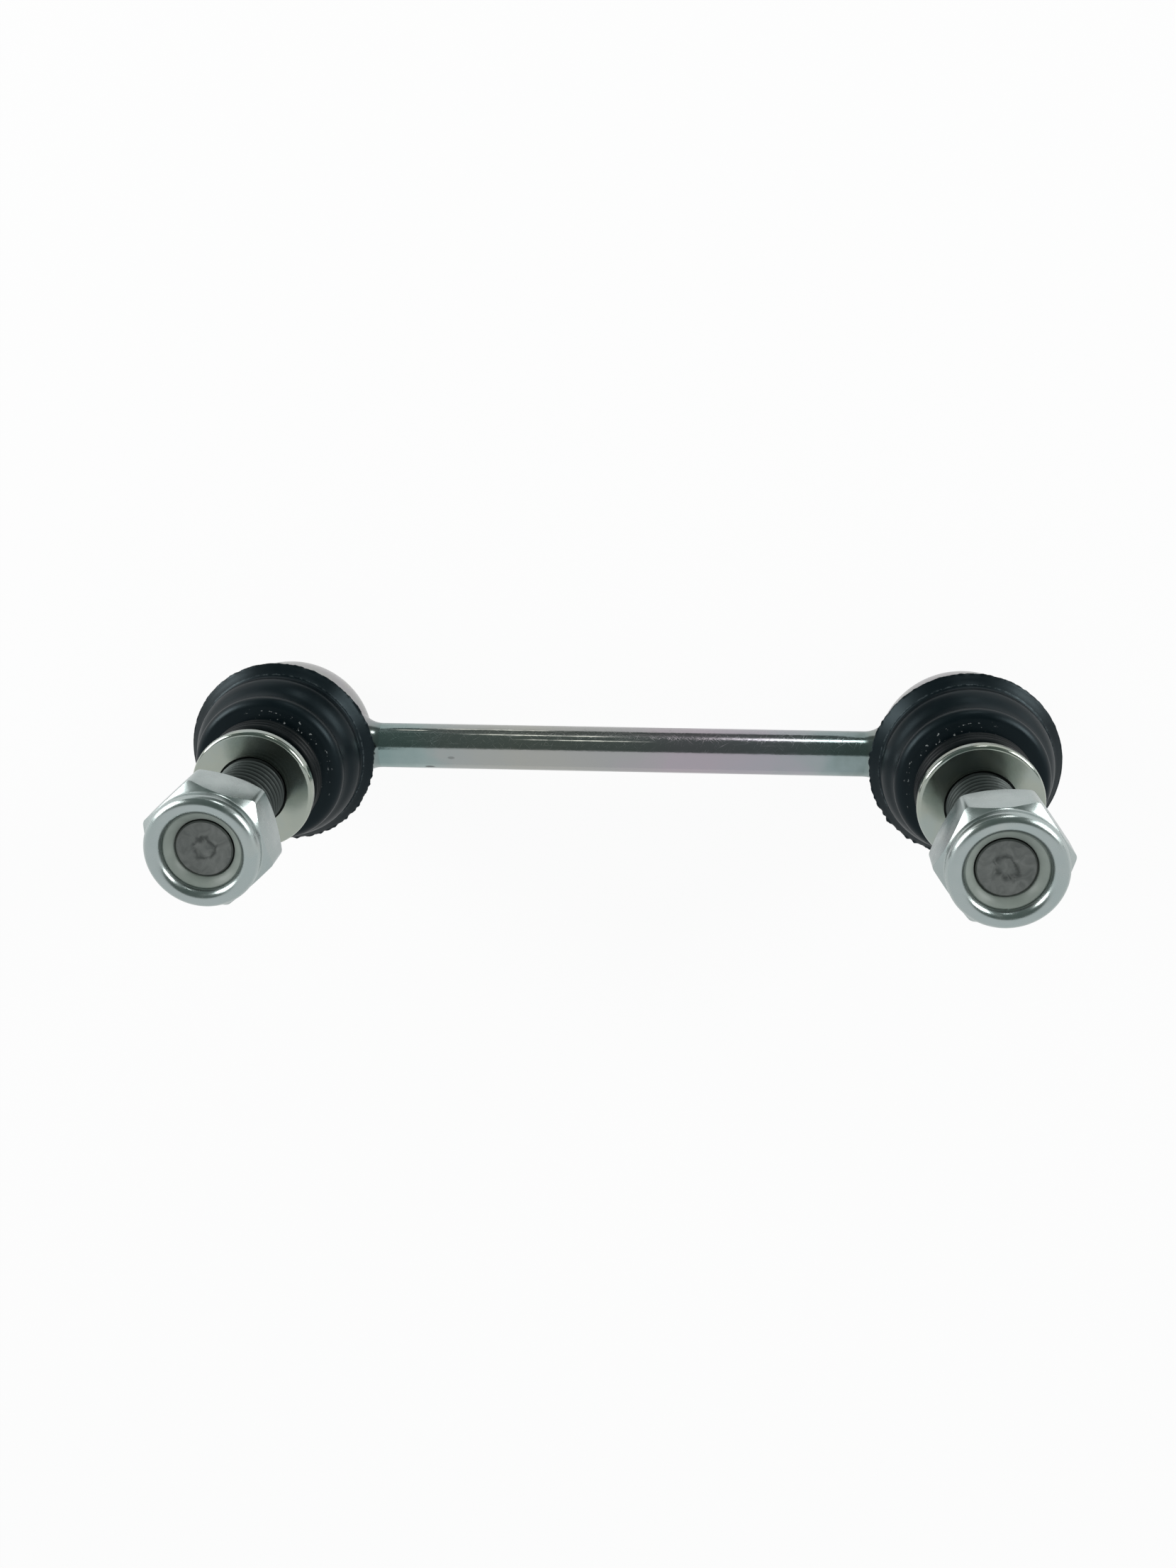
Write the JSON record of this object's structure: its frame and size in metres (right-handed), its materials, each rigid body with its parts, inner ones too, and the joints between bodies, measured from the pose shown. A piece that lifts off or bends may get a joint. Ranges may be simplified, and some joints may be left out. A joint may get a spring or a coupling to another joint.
{
  "type": "stabilizer link",
  "caption": "Short plated stabilizer link: a straight rod with a booted ball joint at each end, and threaded studs with washer and lock nut pointing the same way.",
  "frame": {"origin": "midway between the two stud axes, on the plane that the backs of the housings stand on", "axes": "+X along the rod from the left stud to the right one, +Z along both studs at rest"},
  "size_m": [0.1338, 0.0288, 0.0584],
  "materials": {
    "zinc_plated_steel": "zinc plated, satin",
    "bright_steel": "ground",
    "phosphated_steel": "dark phosphate",
    "ring_steel": "black",
    "rubber": "moulded, semi-matte",
    "liner_plastic": "moulded",
    "nylon": "moulded, satin"
  },
  "bodies": {
    "link": {"link_rod": "zinc_plated_steel", "left_housing": "zinc_plated_steel", "left_end_cover": "zinc_plated_steel", "left_ball_liner": "liner_plastic", "left_dust_boot": "rubber", "left_boot_lower_ring": "ring_steel", "right_housing": "zinc_plated_steel", "right_end_cover": "zinc_plated_steel", "right_ball_liner": "liner_plastic", "right_dust_boot": "rubber", "right_boot_lower_ring": "ring_steel"},
    "left_ball": {"left_ball": "bright_steel"},
    "left_neck": {"left_boot_upper_ring": "ring_steel"},
    "left_stud": {"left_stud": "phosphated_steel"},
    "left_washer": {"left_washer": "zinc_plated_steel"},
    "left_insert": {"left_nut_insert": "nylon"},
    "left_nut": {"left_lock_nut": "zinc_plated_steel"},
    "right_ball": {"right_ball": "bright_steel"},
    "right_neck": {"right_boot_upper_ring": "ring_steel"},
    "right_stud": {"right_stud": "phosphated_steel"},
    "right_washer": {"right_washer": "zinc_plated_steel"},
    "right_insert": {"right_nut_insert": "nylon"},
    "right_nut": {"right_lock_nut": "zinc_plated_steel"}
  },
  "joints": [
    {"name": "left_tilt_across", "type": "hinge", "parent": "link", "child": "left_ball", "pos_m": [-0.0525, 0, 0.01115], "axis": [1, 0, 0], "range_deg": [-18, 18], "deforming": ["left_dust_boot"]},
    {"name": "left_tilt_along", "type": "hinge", "parent": "left_ball", "child": "left_neck", "pos_m": [-0.0525, 0, 0.01115], "axis": [0, 1, 0], "range_deg": [-18, 18], "deforming": ["left_dust_boot"]},
    {"name": "left_stud_spin", "type": "hinge", "parent": "left_neck", "child": "left_stud", "pos_m": [-0.0525, 0, 0.01115], "axis": [0, 0, 1], "continuous": true},
    {"name": "left_washer_slide", "type": "slide", "parent": "left_stud", "child": "left_washer", "axis": [0, 0, 1], "range_m": [0, 0.015]},
    {"name": "left_nut_travel", "type": "slide", "parent": "left_stud", "child": "left_insert", "axis": [0, 0, 1], "range_m": [-0.01502, 0.02002], "deforming": ["left_nut_insert"]},
    {"name": "left_nut_turn", "type": "hinge", "parent": "left_insert", "child": "left_nut", "pos_m": [-0.0525, 0, 0.05], "axis": [0, 0, 1], "range_deg": [-4320, 5760]},
    {"name": "right_tilt_across", "type": "hinge", "parent": "link", "child": "right_ball", "pos_m": [0.0525, 0, 0.01115], "axis": [1, 0, 0], "range_deg": [-18, 18], "deforming": ["right_dust_boot"]},
    {"name": "right_tilt_along", "type": "hinge", "parent": "right_ball", "child": "right_neck", "pos_m": [0.0525, 0, 0.01115], "axis": [0, 1, 0], "range_deg": [-18, 18], "deforming": ["right_dust_boot"]},
    {"name": "right_stud_spin", "type": "hinge", "parent": "right_neck", "child": "right_stud", "pos_m": [0.0525, 0, 0.01115], "axis": [0, 0, 1], "continuous": true},
    {"name": "right_washer_slide", "type": "slide", "parent": "right_stud", "child": "right_washer", "axis": [0, 0, 1], "range_m": [0, 0.015]},
    {"name": "right_nut_travel", "type": "slide", "parent": "right_stud", "child": "right_insert", "axis": [0, 0, 1], "range_m": [-0.01502, 0.02002], "deforming": ["right_nut_insert"]},
    {"name": "right_nut_turn", "type": "hinge", "parent": "right_insert", "child": "right_nut", "pos_m": [0.0525, 0, 0.05], "axis": [0, 0, 1], "range_deg": [-4320, 5760]}
  ],
  "couplings": [
    {"joint": "left_nut_travel", "follows": "left_nut_turn", "m_per_rad": 0.00019894},
    {"joint": "right_nut_travel", "follows": "right_nut_turn", "m_per_rad": 0.00019894}
  ]
}
